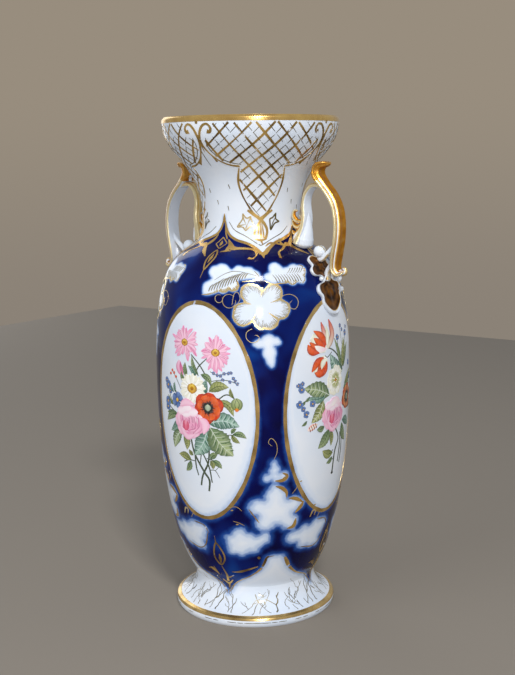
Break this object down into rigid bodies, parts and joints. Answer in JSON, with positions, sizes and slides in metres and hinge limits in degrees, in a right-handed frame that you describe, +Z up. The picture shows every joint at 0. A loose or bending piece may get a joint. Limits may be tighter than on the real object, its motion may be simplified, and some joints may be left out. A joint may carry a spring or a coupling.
{
  "type": "flower vase",
  "caption": "Tall glazed porcelain vase with an ovoid belly, flared mouth, spreading foot, scroll handles and painted, gilded ovals.",
  "frame": {"origin": "centre of the bottom face of the foot, at the bottom centre of the bounding box", "axes": "+Z up along the vase's axis, X through the two handles, -Y through the middle of a painted oval"},
  "size_m": [0.153, 0.1384, 0.35],
  "materials": {
    "porcelain": "glossy clear glaze over white porcelain",
    "painted_porcelain": "glossy glaze over a cobalt ground with white reserves and enamel flowers",
    "gilding": "burnished fired gold, worn in places",
    "old_gilding": "dull, darkened fired gold"
  },
  "bodies": {
    "root": {"foot": "porcelain", "belly": "painted_porcelain", "neck": "porcelain", "rim_gilding": "gilding", "foot_gilding": "gilding", "medallion_gilding": "gilding", "right_handle_scroll": "gilding", "right_handle_loop": "porcelain", "right_handle_curl": "porcelain", "right_handle_terminal": "gilding", "right_upper_leaf": "old_gilding", "right_lower_leaf": "old_gilding", "right_berry": "porcelain", "right_buds": "porcelain", "left_handle_scroll": "gilding", "left_handle_loop": "porcelain", "left_handle_curl": "porcelain", "left_handle_terminal": "gilding", "left_upper_leaf": "old_gilding", "left_lower_leaf": "old_gilding", "left_berry": "porcelain", "left_buds": "porcelain"}
  },
  "joints": []
}
